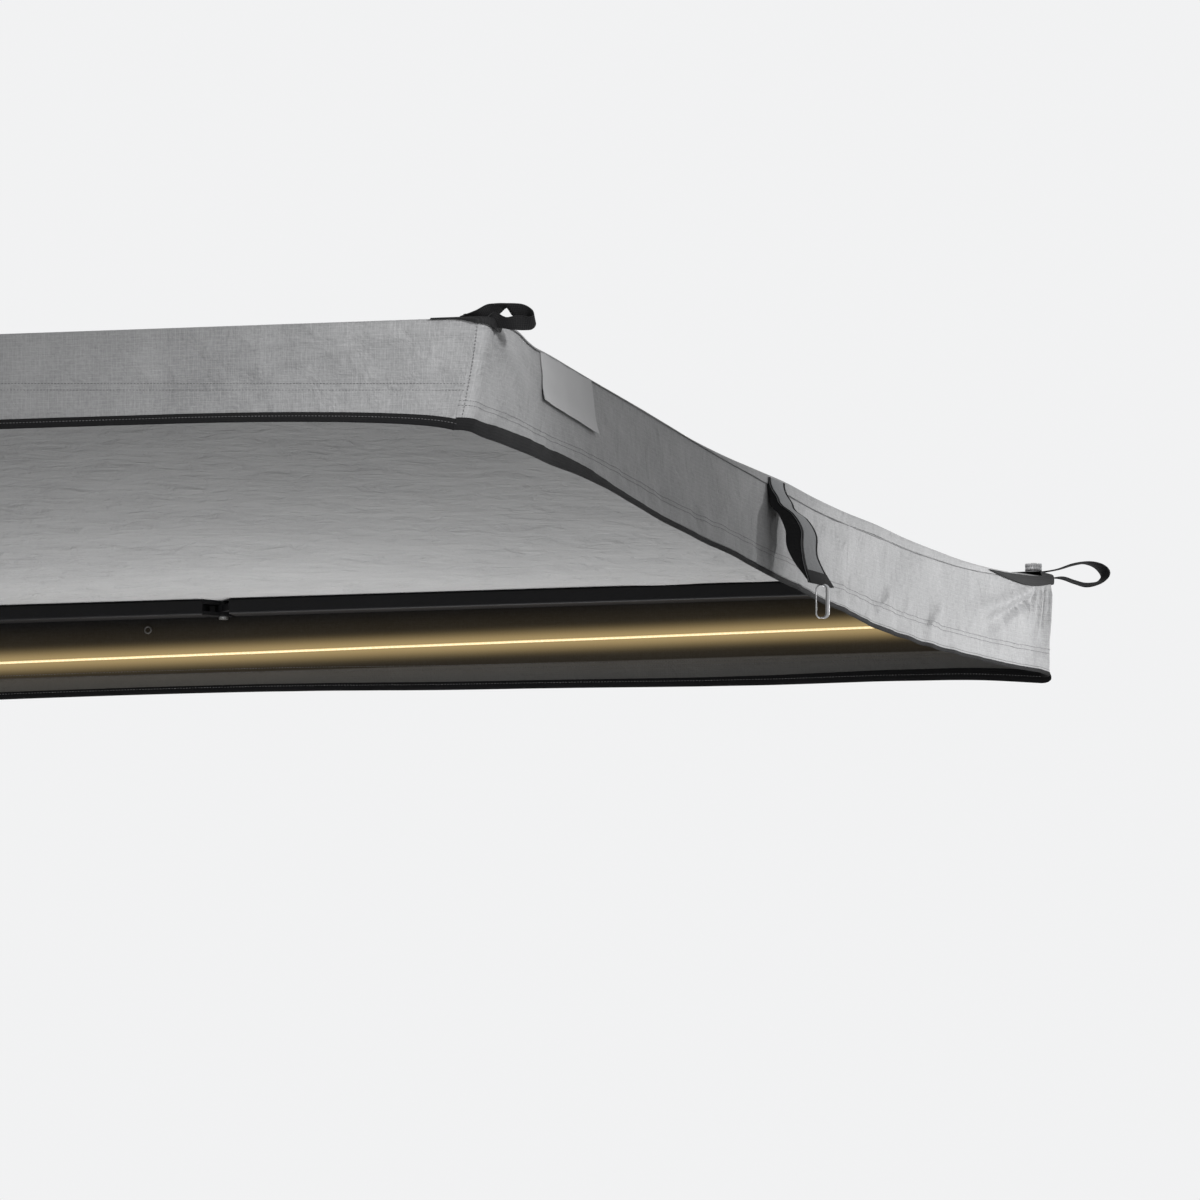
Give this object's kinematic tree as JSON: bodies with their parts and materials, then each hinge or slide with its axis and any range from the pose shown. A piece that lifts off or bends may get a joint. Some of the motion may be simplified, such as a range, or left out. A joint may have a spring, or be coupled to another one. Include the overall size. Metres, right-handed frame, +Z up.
{
  "type": "side awning",
  "caption": "Side awning for a roof rack: an aluminium back plate, folding elbow arms and a cloth canopy with hanging valances, webbing loops and a lamp strip.",
  "frame": {"origin": "centre of the rear face of the back plate, which lies against the roof rack", "axes": "+X along the vehicle, the awning reaches out towards -Y, +Z up"},
  "size_m": [3.0092, 2.6131, 0.2332],
  "materials": {
    "anodised_black": "satin anodised",
    "powder_black": "fine powder coat",
    "zinc_steel": "zinc plated",
    "chrome": "polished",
    "black_plastic": "moulded matte",
    "canopy_cloth": "coated ripstop weave",
    "valance_cloth": "ripstop weave",
    "liner_cloth": "plain weave",
    "black_webbing": "woven webbing",
    "label_cloth": "smooth woven patch, left bare",
    "lamp_diffuser": "milky silicone over warm lamps",
    "cover_cloth": "coated heavy weave"
  },
  "bodies": {
    "base": {"back_plate": "anodised_black", "bracket_bolt_1_far": "zinc_steel", "bracket_bolt_1_near": "zinc_steel", "bracket_bolt_2_far": "zinc_steel", "bracket_bolt_2_near": "zinc_steel", "canopy": "canopy_cloth", "canopy_bead": "liner_cloth", "centre_tab": "black_webbing", "corner_patch_far": "black_webbing", "corner_patch_near": "black_webbing", "cover_strap_1": "black_webbing", "cover_strap_2": "black_webbing", "eyelet": "zinc_steel", "front_binding": "black_webbing", "front_valance": "valance_cloth", "guy_loop_far": "black_webbing", "guy_loop_near": "black_webbing", "label_patch": "label_cloth", "led_inlet": "black_plastic", "led_strip": "lamp_diffuser", "plate_cap_far": "black_plastic", "plate_cap_near": "black_plastic", "rack_bolt_1": "zinc_steel", "rack_bolt_2": "zinc_steel", "rack_bolt_3": "zinc_steel", "rack_bolt_4": "zinc_steel", "rack_nut_1": "zinc_steel", "rack_nut_2": "zinc_steel", "rack_nut_3": "zinc_steel", "rack_nut_4": "zinc_steel", "rolled_cover": "cover_cloth", "shoulder_bolt_far": "zinc_steel", "shoulder_bolt_near": "zinc_steel", "shoulder_bracket_far": "powder_black", "shoulder_bracket_near": "powder_black", "side_binding_far": "black_webbing", "side_binding_near": "black_webbing", "side_valance_far": "valance_cloth", "side_valance_near": "valance_cloth", "tab_ring": "chrome"},
    "near_upper": {"shoulder_knuckle_near": "powder_black", "upper_arm_near": "anodised_black", "elbow_fork_near": "powder_black", "elbow_bolt_near": "zinc_steel"},
    "near_fore": {"elbow_tongue_near": "powder_black", "forearm_near": "anodised_black", "tip_fitting_near": "powder_black", "tip_stud_near": "zinc_steel"},
    "near_nut": {"low_nut_near": "powder_black"},
    "far_upper": {"shoulder_knuckle_far": "powder_black", "upper_arm_far": "anodised_black", "elbow_fork_far": "powder_black", "elbow_bolt_far": "zinc_steel"},
    "far_fore": {"elbow_tongue_far": "powder_black", "forearm_far": "anodised_black", "tip_fitting_far": "powder_black", "tip_stud_far": "zinc_steel"},
    "far_nut": {"thumb_nut_far": "chrome"}
  },
  "joints": [
    {"name": "near_shoulder", "type": "hinge", "parent": "base", "child": "near_upper", "pos_m": [-1.482, -0.0743, 0], "axis": [0, 0, 1], "range_deg": [0, 88], "deforming": ["canopy", "side_valance_near", "side_valance_far", "front_valance", "side_binding_near", "side_binding_far", "front_binding", "corner_patch_near", "corner_patch_far", "guy_loop_near", "guy_loop_far", "label_patch", "centre_tab", "tab_ring", "led_strip", "eyelet"]},
    {"name": "near_elbow", "type": "hinge", "parent": "near_upper", "child": "near_fore", "pos_m": [-1.482, -1.27865, 0], "axis": [0, 0, 1], "range_deg": [-176, 0]},
    {"name": "near_nut_turn", "type": "hinge", "parent": "near_fore", "child": "near_nut", "pos_m": [-1.482, -2.483, 0.044], "axis": [0, 0, 1], "continuous": true},
    {"name": "far_shoulder", "type": "hinge", "parent": "base", "child": "far_upper", "pos_m": [1.482, -0.0743, 0], "axis": [0, 0, 1], "range_deg": [-88, 0]},
    {"name": "far_elbow", "type": "hinge", "parent": "far_upper", "child": "far_fore", "pos_m": [1.482, -1.27865, 0], "axis": [0, 0, 1], "range_deg": [0, 176]},
    {"name": "far_nut_turn", "type": "hinge", "parent": "far_fore", "child": "far_nut", "pos_m": [1.482, -2.483, 0.044], "axis": [0, 0, 1], "continuous": true}
  ],
  "couplings": [
    {"joint": "near_elbow", "follows": "near_shoulder", "ratio": -2},
    {"joint": "far_shoulder", "follows": "near_shoulder", "ratio": -1},
    {"joint": "far_elbow", "follows": "near_shoulder", "ratio": 2}
  ]
}
